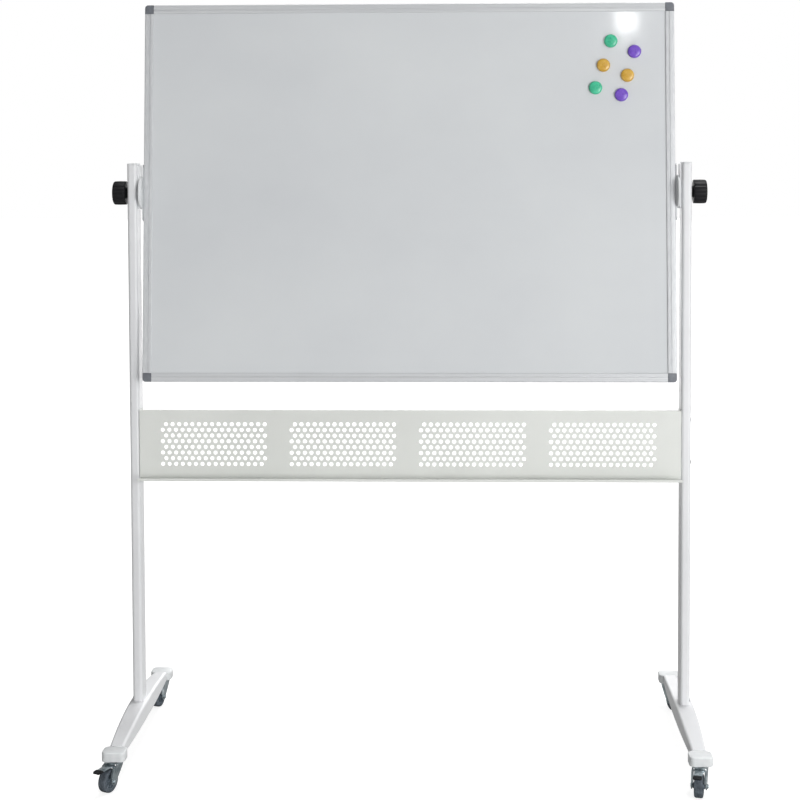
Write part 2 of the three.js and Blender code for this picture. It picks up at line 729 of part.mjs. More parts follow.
function pedalPlan() {
  const neck = PEDAL_WIDTH / 2;
  const tip = PEDAL_TIP_WIDTH / 2;
  const shape = new THREE.Shape();
  shape.moveTo(0, -neck);
  shape.lineTo(PEDAL_NECK, -neck);
  shape.lineTo(PEDAL_REACH - PEDAL_TIP_RADIUS, -tip);
  shape.quadraticCurveTo(PEDAL_REACH, -tip, PEDAL_REACH, PEDAL_TIP_RADIUS - tip);
  shape.lineTo(PEDAL_REACH, tip - PEDAL_TIP_RADIUS);
  shape.quadraticCurveTo(PEDAL_REACH, tip, PEDAL_REACH - PEDAL_TIP_RADIUS, tip);
  shape.lineTo(PEDAL_NECK, neck);
  shape.lineTo(0, neck);
  return shape;
}

// A pressed lever between the fork legs, on its pin.
function makePedal() {
  const { x, z } = PEDAL_PIVOT;
  const lever = common(slab(pedalSide(), THROUGH, FRONT_VIEW), slab(pedalPlan(), THROUGH));
  const pinLength = FORK_WIDTH - 2 * (FORK_WALL + GAP);
  return joined(lever, alongY(rod(PEDAL_PIN_RADIUS, pinLength)).translate(x, 0, z));
}

function makeCaster({ name, side, end, heading, brake }) {
  const caster = new THREE.Group();
  caster.position.set((side * POST_SPACING) / 2, end * CASTER_Y, 0);
  caster.rotation.z = THREE.MathUtils.degToRad(heading);
  add(caster, `caster_stem_${name}`, makeStem(), ZINC);
  add(caster, `caster_fork_${name}`, makeFork(), ZINC);
  add(caster, `caster_hub_${name}`, makeHub(), HUB_PLASTIC);
  add(caster, `caster_tyre_${name}`, makeTyre(), TYRE_RUBBER);
  add(caster, `caster_axle_${name}`, makeAxle(), ZINC);
  if (brake) add(caster, `brake_pedal_${name}`, makePedal(), BLACK_PLASTIC);
  return caster;
}

// ---- assembly ----

function makeWhiteboard() {
  const whiteboard = new THREE.Group();
  whiteboard.position.y = STAND_SHIFT;
  for (const [name, side] of [['left', -1], ['right', 1]]) {
    const x = (side * POST_SPACING) / 2;
    add(whiteboard, `post_${name}`, makePost(side), WHITE_PAINT).position.x = x;
    const cap = add(whiteboard, `post_cap_${name}`, makePostCap(), WHITE_PLASTIC);
    cap.position.set(x, 0, POST_TOP + GAP);
    add(whiteboard, `foot_${name}`, makeFoot(), WHITE_PAINT).position.x = x;
    for (const [level, z] of Object.entries(BOLT_HEIGHTS)) {
      const bolt = add(whiteboard, `panel_bolt_${name}_${level}`, makePanelBolt(side), ZINC);
      bolt.position.set(x, 0, z);
    }
    const disc = add(whiteboard, `friction_disc_${name}`, makeFrictionDisc(side), WHITE_PLASTIC);
    disc.position.z = PIVOT_HEIGHT;
    add(whiteboard, `knob_${name}`, makeKnob(side), BLACK_PLASTIC).position.z = PIVOT_HEIGHT;
  }
  for (const caster of CASTERS) {
    const cap = add(whiteboard, `foot_cap_${caster.name}`, makeFootCap(), WHITE_PLASTIC);
    cap.position.set((caster.side * POST_SPACING) / 2, caster.end * CASTER_Y, 0);
    whiteboard.add(makeCaster(caster));
  }
  add(whiteboard, 'modesty_panel', makeModestyPanel(), PANEL_PAINT);
  whiteboard.add(makeBoard());
  return whiteboard;
}

export default makeWhiteboard();
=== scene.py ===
"""Looks of the rolling whiteboard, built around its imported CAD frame.

Shapes are drawn in millimetres in a piece's own frame and turned into metres when the piece is made.
"""
import json
import math

import bmesh
import bpy
from mathutils import Matrix, Vector


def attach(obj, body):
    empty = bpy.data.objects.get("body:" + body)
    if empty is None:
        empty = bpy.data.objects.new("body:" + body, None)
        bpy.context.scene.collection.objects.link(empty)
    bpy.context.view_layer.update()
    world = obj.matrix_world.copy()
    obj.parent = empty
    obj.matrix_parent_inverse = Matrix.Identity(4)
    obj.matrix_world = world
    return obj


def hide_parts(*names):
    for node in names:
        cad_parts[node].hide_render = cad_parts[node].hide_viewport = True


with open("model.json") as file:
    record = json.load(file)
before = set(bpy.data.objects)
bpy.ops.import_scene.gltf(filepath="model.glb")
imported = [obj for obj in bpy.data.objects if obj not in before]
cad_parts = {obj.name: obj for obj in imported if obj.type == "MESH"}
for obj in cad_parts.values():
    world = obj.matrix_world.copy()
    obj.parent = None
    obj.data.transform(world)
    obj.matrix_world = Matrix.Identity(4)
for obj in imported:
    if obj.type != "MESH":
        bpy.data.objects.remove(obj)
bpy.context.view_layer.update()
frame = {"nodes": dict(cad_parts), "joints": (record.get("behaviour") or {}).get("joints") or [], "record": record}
MM = 0.001
GAP = 0.3  # millimetres that the CAD keeps between touching pieces
CREASE = math.radians(32)  # edges sharper than this stay crisp
JOINTS = {joint["name"]: joint for joint in frame["joints"]}
SIDES = {"left": -1, "right": 1}


# ---------------------------------------------------------------- places from the frame

def span(node, view=Matrix()):
    """Lowest and highest corners of a CAD node, in millimetres, in a local frame."""
    to_local = view.inverted()
    points = [to_local @ (vertex.co / MM) for vertex in frame["nodes"][node].data.vertices]
    low = Vector([min(p[i] for p in points) for i in range(3)])
    high = Vector([max(p[i] for p in points) for i in range(3)])
    return low, high


def joint_place(name):
    """A joint's position and axis, in millimetres."""
    return Vector(JOINTS[name]["pos_m"]) / MM, Vector(JOINTS[name]["axis"])


def board_frame():
    """Origin at the pivot, X to the right, Z up along the leaning board."""
    pivot = joint_place("board_turn")[0]
    normal = Vector(JOINTS["magnet_green_upper_pull"]["axis"])
    lean = math.atan2(normal.z, -normal.y)
    return Matrix.Translation(pivot) @ Matrix.Rotation(-lean, 4, "X")


def caster_frame(name):
    """Origin on the floor under the swivel axis, X towards the trailing wheel."""
    swivel = joint_place(f"swivel_{name}")[0]
    axle = joint_place(f"roll_{name}")[1]
    heading = math.atan2(-axle.x, axle.y)
    return Matrix.Translation((swivel.x, swivel.y, 0)) @ Matrix.Rotation(heading, 4, "Z")


BOARD = board_frame()
PIVOT = joint_place("board_turn")[0]


# ---------------------------------------------------------------- shapes as (points, faces)

def arc(centre, radius, start, end, steps):
    """Points on a circle in the plane, from start to end degrees."""
    angles = [math.radians(start + (end - start) * i / steps) for i in range(steps + 1)]
    return [(centre[0] + radius * math.cos(a), centre[1] + radius * math.sin(a)) for a in angles]


def rounded_rectangle(width, depth, radius, steps=8):
    """Outline about the origin, anticlockwise from the middle of the right side."""
    points = []
    for sx, sy, start in ((1, 1, 0), (-1, 1, 90), (-1, -1, 180), (1, -1, 270)):
        centre = (sx * (width / 2 - radius), sy * (depth / 2 - radius))
        points += arc(centre, radius, start, start + 90, steps)
    return points


def loft(rings, capped=True):
    """Skin over rings of points that all have the same count."""
    count = len(rings[0])
    points = [Vector(p) for ring in rings for p in ring]
    faces = []
    for k in range(len(rings) - 1):
        low, high = k * count, (k + 1) * count
        for i in range(count):
            j = (i + 1) % count
            faces.append((low + i, low + j, high + j, high + i))
    if capped:
        faces.append(tuple(reversed(range(count))))
        faces.append(tuple(range(len(points) - count, len(points))))
    return points, faces


def prism(outline, low, high):
    """An outline in (x, y), raised from low to high along Z."""
    return loft([[(x, y, z) for x, y in outline] for z in (low, high)])


def turned(profile, steps=48):
    """A lathe shape about Z from (radius, height) points. A profile that ends where it starts is a ring."""
    looped = profile[0] == profile[-1]
    points, rows = [], []
    for radius, height in profile[:-1] if looped else profile:
        rows.append(list(range(len(points), len(points) + (steps if radius > 0 else 1))))
        turns = [2 * math.pi * i / steps for i in range(len(rows[-1]))]
        points += [Vector((radius * math.cos(a), radius * math.sin(a), height)) for a in turns]
    if looped:
        rows.append(rows[0])
    faces = []
    for low, high in zip(rows, rows[1:]):
        for i in range(steps):
            corners = [low[i % len(low)], low[(i + 1) % steps % len(low)]]
            corners += [high[(i + 1) % steps % len(high)], high[i % len(high)]]
            faces.append(tuple(dict.fromkeys(corners)))
    return points, [face for face in faces if len(face) > 2]


def moved(shape, matrix):
    """The shape in another place."""
    return [matrix @ point for point in shape[0]], shape[1]


def together(*shapes):
    """Several shapes as one."""
    points, faces = [], []
    for shape_points, shape_faces in shapes:
        faces += [tuple(i + len(points) for i in face) for face in shape_faces]
        points += shape_points
    return points, faces


def brick(low, high):
    """A box between two corners."""
    outline = [(low[0], low[1]), (high[0], low[1]), (high[0], high[1]), (low[0], high[1])]
    return prism(outline, low[2], high[2])


def hexagon(across, low, high):
    """A hexagonal nut about Z, narrower at both ends."""
    chamfer = 0.12 * (high - low)
    rings = []
    for z, reach in ((low, 0.93), (low + chamfer, 1), (high - chamfer, 1), (high, 0.93)):
        radius = reach * across / math.sqrt(3)
        rings.append([(*point, z) for point in arc((0, 0), radius, 0, 300, 5)])
    return loft(rings)


TO_X = Matrix.Rotation(math.pi / 2, 4, "Y")  # a shape about Z, laid along X
TO_Y = Matrix.Rotation(-math.pi / 2, 4, "X")  # a shape about Z, laid along Y
SIDE_VIEW = Matrix(((0, 0, 1, 0), (1, 0, 0, 0), (0, 1, 0, 0), (0, 0, 0, 1)))  # outline (y, z), depth x
FRONT_VIEW = Matrix(((1, 0, 0, 0), (0, 0, -1, 0), (0, 1, 0, 0), (0, 0, 0, 1)))  # outline (x, z), depth -y


def facing(side):
    """A shape drawn along +Z, laid outwards along X on that side."""
    return TO_X if side > 0 else Matrix.Rotation(math.pi, 4, "Z") @ TO_X


def at(x=0, y=0, z=0):
    """A move to that point."""
    return Matrix.Translation((x, y, z))


# ---------------------------------------------------------------- pieces

def evaluated(holder):
    """The mesh that a curve, or an object with modifiers, comes to."""
    bpy.context.view_layer.update()
    graph = bpy.context.evaluated_depsgraph_get()
    return bpy.data.meshes.new_from_object(holder.evaluated_get(graph), depsgraph=graph)


def settle(piece):
    """Applies the piece's modifiers to its mesh."""
    mesh = evaluated(piece)
    piece.modifiers.clear()
    piece.data = mesh


def shade(mesh):
    """Smooth shading, with sharp edges kept crisp."""
    work = bmesh.new()
    work.from_mesh(mesh)
    bmesh.ops.recalc_face_normals(work, faces=work.faces)
    for face in work.faces:
        face.smooth = True
    for edge in work.edges:
        edge.smooth = edge.is_manifold and edge.calc_face_angle(0) < CREASE
    work.to_mesh(mesh)
    work.free()


def soften(piece, width):
    """Rounds the sharp edges by width millimetres."""
    bevel = piece.modifiers.new("edges", "BEVEL")
    bevel.width = width * MM
    bevel.segments = 2
    bevel.limit_method = "ANGLE"
    bevel.angle_limit = CREASE
    weighted = piece.modifiers.new("normals", "WEIGHTED_NORMAL")
    weighted.keep_sharp = True
    settle(piece)


def make(name, shape, material, body, stands_for, view=Matrix(), edge=0.0):
    """A finished piece from a shape drawn in millimetres in the view's frame."""
    points, faces = moved(shape, view)
    mesh = bpy.data.meshes.new(name)
    mesh.from_pydata([point * MM for point in points], [], faces)
    return adopt(name, mesh, material, body, stands_for, edge)


def adopt(name, mesh, material, body, stands_for, edge=0.0):
    """A finished piece, with the body that it rides on and the CAD nodes that it replaces."""
    shade(mesh)
    piece = bpy.data.objects.new(name, mesh)
    bpy.context.scene.collection.objects.link(piece)
    if edge > 0:
        soften(piece, edge)
    piece.data.materials.clear()
    piece.data.materials.append(material)
    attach(piece, body)
    if stands_for:
        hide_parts(*stands_for)
    return piece


# ---------------------------------------------------------------- materials

def linear(hex_colour):
    """An sRGB colour written as rrggbb, as a linear colour."""
    values = [int(hex_colour[i:i + 2], 16) / 255 for i in (0, 2, 4)]
    return [v / 12.92 if v <= 0.04045 else ((v + 0.055) / 1.055) ** 2.4 for v in values] + [1]


class Finish:
    """A node material. Noise in the piece's own space drives its colour, gloss and bump."""

    def __init__(self, name, roughness, metallic=0.0, **sockets):
        self.material = bpy.data.materials.new(name)
        self.material.use_nodes = True
        self.nodes = self.material.node_tree.nodes
        self.shader = self.nodes["Principled BSDF"]
        self.shader.inputs["Roughness"].default_value = roughness
        self.shader.inputs["Metallic"].default_value = metallic
        for socket, value in sockets.items():
            self.shader.inputs[socket.replace("_", " ")].default_value = value
        self.place = self.nodes.new("ShaderNodeTexCoord").outputs["Object"]

    def link(self, source, target):
        self.material.node_tree.links.new(source, target)

    def noise(self, scale, detail, stretch=(1, 1, 1)):
        """A drive for the other methods. A small stretch draws the noise out along that axis."""
        mapping = self.nodes.new("ShaderNodeMapping")
        mapping.inputs["Scale"].default_value = stretch
        self.link(self.place, mapping.inputs["Vector"])
        noise = self.nodes.new("ShaderNodeTexNoise")
        noise.inputs["Scale"].default_value = scale
        noise.inputs["Detail"].default_value = detail
        noise.inputs["Roughness"].default_value = 0.55
        self.link(mapping.outputs["Vector"], noise.inputs["Vector"])
        return noise.outputs["Fac"]

    def colour(self, dark, light, drive, low=0.35, high=0.65):
        """Drifts between two tones, from low to high of the drive."""
        ramp = self.nodes.new("ShaderNodeValToRGB")
        ramp.color_ramp.elements[0].position = low
        ramp.color_ramp.elements[0].color = linear(dark)
        ramp.color_ramp.elements[1].position = high
        ramp.color_ramp.elements[1].color = linear(light)
        self.link(drive, ramp.inputs["Fac"])
        self.link(ramp.outputs["Color"], self.shader.inputs["Base Color"])
        return self

    def gloss(self, drive, smooth, rough):
        """Drifts between two roughnesses."""
        spread = self.nodes.new("ShaderNodeMapRange")
        spread.inputs["From Min"].default_value = 0.3
        spread.inputs["From Max"].default_value = 0.7
        spread.inputs["To Min"].default_value = smooth
        spread.inputs["To Max"].default_value = rough
        self.link(drive, spread.inputs["Value"])
        self.link(spread.outputs["Result"], self.shader.inputs["Roughness"])
        return self

    def bump(self, drive, depth, strength):
        """A fine relief, with its depth in millimetres."""
        bump = self.nodes.new("ShaderNodeBump")
        bump.inputs["Strength"].default_value = strength
        bump.inputs["Distance"].default_value = depth * MM
        self.link(drive, bump.inputs["Height"])
        self.link(bump.outputs["Normal"], self.shader.inputs["Normal"])
        return self

    def glow_for_camera(self, strength):
        """Lifts the surface towards white as it is seen, without lighting what stands on it."""
        path = self.nodes.new("ShaderNodeLightPath")
        lift = self.nodes.new("ShaderNodeMath")
        lift.operation = "MULTIPLY"
        lift.inputs[1].default_value = strength
        self.link(path.outputs["Is Camera Ray"], lift.inputs[0])
        self.link(lift.outputs["Value"], self.shader.inputs["Emission Strength"])
        self.shader.inputs["Emission Color"].default_value = (1, 1, 1, 1)


def powder_coat(name, dark, light, roughness):
    finish = Finish(name, roughness, Coat_Weight=0.15, Coat_Roughness=0.25)
    finish.colour(dark, light, finish.noise(3.5, 3))
    finish.gloss(finish.noise(40, 3), roughness - 0.06, roughness + 0.06)
    return finish.bump(finish.noise(750, 2), 0.06, 0.5).material


def moulded(name, dark, light, roughness, grain=900, depth=0.05, shine=0.5):
    finish = Finish(name, roughness, Specular_IOR_Level=shine)
    finish.colour(dark, light, finish.noise(60, 4))
    finish.gloss(finish.noise(150, 3), roughness - 0.05, roughness + 0.07)
    return finish.bump(finish.noise(grain, 3), depth, 0.6).material


def anodised(name, stretch):
    """Satin aluminium with drawing lines along the extrusion."""
    finish = Finish(name, 0.4, 0.18)
    lines = finish.noise(1100, 3, stretch)
    finish.colour("c9cbce", "d6d8da", finish.noise(500, 4, stretch))
    finish.gloss(lines, 0.34, 0.48)
    return finish.bump(lines, 0.012, 0.6).material


def lacquered_sheet(name):
    """Glossy writing surface, with the faint clouds that wiping leaves."""
    finish = Finish(name, 0.14, Coat_Weight=0.6, Coat_Roughness=0.06)
    finish.colour("d3d6d9", "dadddf", finish.noise(1.6, 4, (1, 1, 1.4)))
    finish.gloss(finish.noise(7, 5, (1, 1, 2.2)), 0.1, 0.22)
    return finish.bump(finish.noise(220, 2), 0.02, 0.25).material


def zinc_plate(name, dark, light):
    """Bright zinc with the blue-grey bloom of passivation."""
    finish = Finish(name, 0.34, 1.0)
    finish.colour(dark, light, finish.noise(95, 5), 0.3, 0.7)
    finish.gloss(finish.noise(210, 4), 0.24, 0.46)
    return finish.bump(finish.noise(600, 3), 0.03, 0.5).material


def rubber(name):
    finish = Finish(name, 0.72, Specular_IOR_Level=0.35)
    finish.colour("454b52", "626a73", finish.noise(120, 5))
    finish.gloss(finish.noise(260, 3), 0.62, 0.85)
    return finish.bump(finish.noise(900, 4), 0.08, 0.7).material


def magnet_plastic(name, dark, light):
    finish = Finish(name, 0.28, Coat_Weight=0.35, Coat_Roughness=0.12)
    finish.colour(dark, light, finish.noise(90, 3))
    finish.gloss(finish.noise(200, 3), 0.24, 0.36)
    return finish.bump(finish.noise(700, 2), 0.02, 0.4).material


def fibreboard(name):
    finish = Finish(name, 0.85)
    finish.colour("a08660", "c3a980", finish.noise(400, 6))
    return finish.bump(finish.noise(900, 4), 0.2, 0.8).material


WHITE_PAINT = powder_coat("white_paint", "dfe0e2", "e6e7e9", 0.42)
PANEL_PAINT = powder_coat("panel_paint", "dbddd9", "e2e4e0", 0.46)
WHITE_PLASTIC = moulded("white_plastic", "dbdedf", "e4e6e7", 0.42)
ALUMINIUM_ACROSS = anodised("aluminium_across", (0.004, 1, 1))
ALUMINIUM_UP = anodised("aluminium_up", (1, 1, 0.004))
GREY_PLASTIC = moulded("grey_plastic", "696c73", "767a81", 0.45)
BLACK_PLASTIC = moulded("black_plastic", "0c0c0f", "17171b", 0.48, 700, 0.08, 0.25)
WRITING_FACE = lacquered_sheet("writing_face")
CORE = fibreboard("core_board")
ZINC = zinc_plate("zinc", "8b989f", "c8d0d3")
BOLT_STEEL = zinc_plate("bolt_steel", "3f4448", "6a7074")
TYRE = rubber("tyre_rubber")
HUB = moulded("hub_plastic", "56606a", "6b757e", 0.4)
MAGNET_COLOURS = {
    "green": magnet_plastic("magnet_green", "35b389", "49c79c"),
    "purple": magnet_plastic("magnet_purple", "6c45bd", "8159cf"),
    "yellow": magnet_plastic("magnet_yellow", "c9992f", "dbb04a"),
}


# ---------------------------------------------------------------- stand

POST_RADIUS = 7
POST_WALL = 1.5
POST_CAP_RISE = 3
PAD_DEPTH = 34  # of the doubler pad on the post's inner side
PAD_RADIUS = 4
PAD_SINK = 0.4  # how far it runs into the tube
PAD_TOP_DROP = 1  # its top edge, below the tube's end


def make_post(name, side):
    """The tube, which is open at both ends, and the doubler pad at the pivot."""
    low, high = span(f"post_{name}")
    cap_low, cap_high = span(f"post_cap_{name}")
    centre = (cap_low + cap_high) / 2
    width, depth = cap_high.x - cap_low.x, cap_high.y - cap_low.y
    outer = rounded_rectangle(width, depth, POST_RADIUS, 10)
    inner = rounded_rectangle(width - 2 * POST_WALL, depth - 2 * POST_WALL, POST_RADIUS - POST_WALL, 10)
    walls = ((outer, low.z), (outer, high.z), (inner, high.z), (inner, low.z))
    tube = loft([[(x, y, z) for x, y in line] for line, z in walls], capped=False)
    count = len(outer)
    tube[1].extend((3 * count + i, 3 * count + (i + 1) % count, (i + 1) % count, i) for i in range(count))
    tube = moved(tube, at(centre.x, centre.y))
    make(f"post_tube_{name}", tube, WHITE_PAINT, "stand", [f"post_{name}"], edge=0.3)

    faces = sorted((low.x if side > 0 else high.x, centre.x - side * (width / 2 - PAD_SINK)))
    bottom = span(f"friction_disc_{name}")[0].z
    pad = rounded_rectangle(PAD_DEPTH, high.z - bottom - PAD_TOP_DROP, PAD_RADIUS)
    pad = moved(prism(pad, *faces), SIDE_VIEW)
    pad = moved(pad, at(0, centre.y, (high.z + bottom) / 2 - PAD_TOP_DROP / 2))
    make(f"pivot_pad_{name}", pad, WHITE_PAINT, "stand", [], edge=0.8)


def make_post_cap(name):
    low, high = span(f"post_cap_{name}")
    centre = (low + high) / 2
    width, depth = high.x - low.x, high.y - low.y
    profile = ((0.2, POST_CAP_RISE), (0, POST_CAP_RISE - 0.3), (0, 1.3), (0.35, 0.55), (1.1, 0.12), (2.2, 0))
    rings = []
    for inset, drop in profile:
        outline = rounded_rectangle(width - 2 * inset, depth - 2 * inset, POST_RADIUS - inset)
        rings.append([(x + centre.x, y + centre.y, high.z - drop) for x, y in outline])
    make(f"post_end_cap_{name}", loft(rings), WHITE_PLASTIC, "stand", [f"post_cap_{name}"])


FOOT_WALL = 2
FOOT_FILLET = 6
FOOT_FLAT = 0.11  # share of the half length that is level under the post
FOOT_ARCH = 1.7  # how the rest falls: 1 is straight, and more bends it
FOOT_END_WIDTH = 31
FOOT_END_RISE = 1  # above the end caps
FOOT_STATIONS = 22
FOOT_SCREW = {"depth": 12, "height": 111}  # from the post's front, and above the floor
CAP_CORNER = 11


def foot_section(width, top, bottom):
    """Closed outline of the channel across the foot, as (x, z)."""
    half, fillet = width / 2, FOOT_FILLET
    outer = [(half, bottom)] + arc((half - fillet, top - fillet), fillet, 0, 90, 6)
    outer += arc((fillet - half, top - fillet), fillet, 90, 180, 6) + [(-half, bottom)]
    thin, small = half - FOOT_WALL, fillet - FOOT_WALL
    roof = top - FOOT_WALL
    inner = [(-thin, bottom)] + arc((small - thin, roof - small), small, 180, 90, 6)
    inner += arc((thin - small, roof - small), small, 90, 0, 6) + [(thin, bottom)]
    return outer + inner


def make_foot(name):
    low, high = span(f"foot_{name}")
    centre = (low + high) / 2
    cap_high = span(f"foot_cap_front_{name}")[1]
    reach = centre.y - cap_high.y - GAP
    mid_width = high.x - low.x
    end_top = cap_high.z + FOOT_END_RISE
    rings = []
    for k in range(-FOOT_STATIONS, FOOT_STATIONS + 1):
        t = k / FOOT_STATIONS
        fall = max(0.0, (abs(t) - FOOT_FLAT) / (1 - FOOT_FLAT))
        top = high.z - (high.z - end_top) * fall ** FOOT_ARCH
        width = mid_width - (mid_width - FOOT_END_WIDTH) * t * t
        section = foot_section(width, top, low.z)
        rings.append([(centre.x + x, centre.y + t * reach, z) for x, z in section])
    make(f"foot_channel_{name}", loft(rings), WHITE_PAINT, "stand", [f"foot_{name}"], edge=0.4)


def make_foot_cap(name):
    low, high = span(f"foot_cap_{name}")
    centre = (low + high) / 2
    width, depth, rise = high.x - low.x, high.y - low.y, high.z - low.z
    side = [(1.2, 0), (0.35, 0.3), (0, 1.1)]
    groove = [(0, rise - 7.2), (0.35, rise - 6.9), (0.35, rise - 6.5), (0, rise - 6.2)]
    crown = [(0, rise - 3), (0.3, rise - 1.7), (1.2, rise - 0.6), (2.8, rise)]
    rings = []
    for inset, z in side + groove + crown:
        outline = rounded_rectangle(width - 2 * inset, depth - 2 * inset, CAP_CORNER - inset)
        rings.append([(x + centre.x, y + centre.y, z + low.z) for x, y in outline])
    make(f"caster_cap_{name}", loft(rings), WHITE_PLASTIC, "stand", [f"foot_cap_{name}"])


def make_foot_screw(name, side):
    """Small screw low on the post's outer side. The CAD has none."""
    post_low, post_high = span(f"post_cap_{name}")
    outer = post_high.x if side > 0 else post_low.x
    head = turned([(0, 0), (3.2, 0), (3.1, 0.6), (2.2, 1.3), (1.4, 1.5), (1.2, 0.6), (0, 0.6)], 24)
    place = at(outer, post_low.y + FOOT_SCREW["depth"], FOOT_SCREW["height"]) @ facing(side)
    make(f"foot_screw_{name}", moved(head, place), BOLT_STEEL, "stand", [])


# ---------------------------------------------------------------- lower panel

SHEET = 1.5
BEND = 2.0  # outer radius
PANEL_HEIGHT = 154  # above the upper side of the ledge
TOP_FOLD = 6
END_FLANGE = 36
LEDGE_LIP = 4.5
HOLE_RADIUS = 4.4
HOLE_SIDES = 20
WELD = 0.01  # points closer than this become one
HOLE_PITCH = 15
ROW_PITCH = HOLE_PITCH * math.sqrt(3) / 2
HOLES_ACROSS = 16
HOLE_ROWS = 8
FIELDS = 4
FIELD_PITCH = 293.4
FIELD_SHIFT = -3.3  # of all the fields, to the left
FIELD_HEIGHT = 698.5  # middle of the holes above the floor


def hole_centres():
    """Middles of the holes as (x, z), in staggered rows."""
    for field in range(FIELDS):
        middle = (field - (FIELDS - 1) / 2) * FIELD_PITCH + FIELD_SHIFT
        for row in range(HOLE_ROWS):
            shift = HOLE_PITCH / 4 if row % 2 == 0 else -HOLE_PITCH / 4
            z = FIELD_HEIGHT + ((HOLE_ROWS - 1) / 2 - row) * ROW_PITCH
            for column in range(HOLES_ACROSS):
                yield middle + shift + (column - (HOLES_ACROSS - 1) / 2) * HOLE_PITCH, z


def flat_with_holes(low, high, holes):
    """A flat sheet with round holes, centred on its thickness in the XY plane."""
    curve = bpy.data.curves.new("outline", "CURVE")
    curve.dimensions = "2D"
    curve.fill_mode = "BOTH"
    curve.extrude = SHEET / 2 * MM
    outlines = [[(low[0], low[1]), (high[0], low[1]), (high[0], high[1]), (low[0], high[1])]]
    outlines += [arc(hole, HOLE_RADIUS, 0, 360 - 360 / HOLE_SIDES, HOLE_SIDES - 1) for hole in holes]
    for outline in outlines:
        spline = curve.splines.new("POLY")
        spline.points.add(len(outline) - 1)
        for point, (x, y) in zip(spline.points, outline):
            point.co = (x * MM, y * MM, 0, 1)
        spline.use_cyclic_u = True
    holder = bpy.data.objects.new("outline", curve)
    bpy.context.scene.collection.objects.link(holder)
    mesh = evaluated(holder)
    work = bmesh.new()
    work.from_mesh(mesh)
    bmesh.ops.remove_doubles(work, verts=work.verts, dist=WELD * MM)
    work.to_mesh(mesh)
    work.free()
    points = [vertex.co / MM for vertex in mesh.vertices]
    faces = [tuple(polygon.vertices) for polygon in mesh.polygons]
    bpy.data.objects.remove(holder)
    bpy.data.curves.remove(curve)
    bpy.data.meshes.remove(mesh)
    return points, faces


def bent(centre, start, end):
    """Outer and inner arcs of a sheet bent round a centre, both from start to end degrees."""
    return arc(centre, BEND, start, end, 6), arc(centre, BEND - SHEET, start, end, 3)


def make_panel():
    low, high = span("modesty_panel")
    front = span("post_cap_left")[0].y
    floor = high.z - PANEL_HEIGHT
    half = high.x
    inside = half - SHEET

    bottom, top = floor + BEND - SHEET, high.z - BEND
    face = flat_with_holes((-inside, bottom), (inside, top), list(hole_centres()))
    face = moved(face, at(0, front + SHEET / 2) @ FRONT_VIEW)

    outer, inner = bent((front + BEND, top), 180, 90)
    fold_end = front + TOP_FOLD
    top_fold = outer + [(fold_end, high.z), (fold_end, high.z - SHEET)] + inner[::-1]

    outer, inner = bent((front + SHEET - BEND, bottom), 0, -90)
    lip_outer, lip_inner = bent((low.y + BEND, bottom), -90, -180)
    lip_top = arc((low.y + SHEET / 2, floor + LEDGE_LIP - SHEET / 2), SHEET / 2, 180, 0, 4)
    ledge = outer + lip_outer + lip_top + lip_inner[::-1] + inner[::-1]

    folds = [moved(prism(line, -inside, inside), SIDE_VIEW) for line in (top_fold, ledge)]
    wing = [(front, floor), (front + END_FLANGE, floor), (front + END_FLANGE, high.z), (front, high.z)]
    for side in SIDES.values():
        ends = sorted((side * inside, side * half))
        folds.append(moved(prism(wing, *ends), SIDE_VIEW))
    shape = together(face, *folds)
    make("perforated_panel", shape, PANEL_PAINT, "stand", ["modesty_panel"])


BOLT_HEAD_HEIGHT = 3.4
BOLT_RADIUS = 2.9
NUT_SEAT = 8.4  # from the bolt's end, with the head's height added
NUT_ACROSS = 9.6
NUT_HEIGHT = 4.6


def make_panel_bolt(name, level, side):
    """A dome-headed bolt with a recess for the key, and its nut inside the panel's end flange."""
    low, high = span(f"panel_bolt_{name}_{level}")
    middle = (low + high) / 2
    length = high.x - low.x
    radius = (high.z - low.z) / 2
    head = [(0, 0), (radius, 0), (radius, 0.5)]
    head += [(radius * math.cos(a), 0.5 + 2.7 * math.sin(a)) for a in (0.25, 0.5, 0.8, 1.1)]
    head += [(2.3, 3.05), (2.3, 1.2), (0, 1.2)]
    stem = turned([(0, 3.2 - length), (BOLT_RADIUS, 3.2 - length), (BOLT_RADIUS, 0.2), (0, 0.2)], 24)
    nut = moved(hexagon(NUT_ACROSS, -NUT_HEIGHT, 0), at(0, 0, NUT_SEAT - length))
    shape = together(turned(head, 40), stem, nut)
    outer = (high.x if side > 0 else low.x) - side * BOLT_HEAD_HEIGHT
    place = at(outer, middle.y, middle.z) @ facing(side)
    node = f"panel_bolt_{name}_{level}"
    make(f"panel_screw_{name}_{level}", moved(shape, place), BOLT_STEEL, "stand", [node], edge=0.15)


# ---------------------------------------------------------------- pivot

STUD_BORE = 5.4
BRACKET_PLATE = 3
THREAD_PITCH = 1.5
THREAD_ROOT, THREAD_CREST = 4.6, 5.0
KNOB_LOBES = 12
LOBE_STEPS = 10
KNOB_NECK = 5.0  # length of the collar under the grip
KNOB_FLUTE = 1.3  # depth of the flutes
KNOB_TAPER = 0.3  # how much less the grip's radius is at its ends
KNOB_RIM = 1.4  # radius of its lower edge
KNOB_SHOULDER = 4.5  # radius of its outer edge


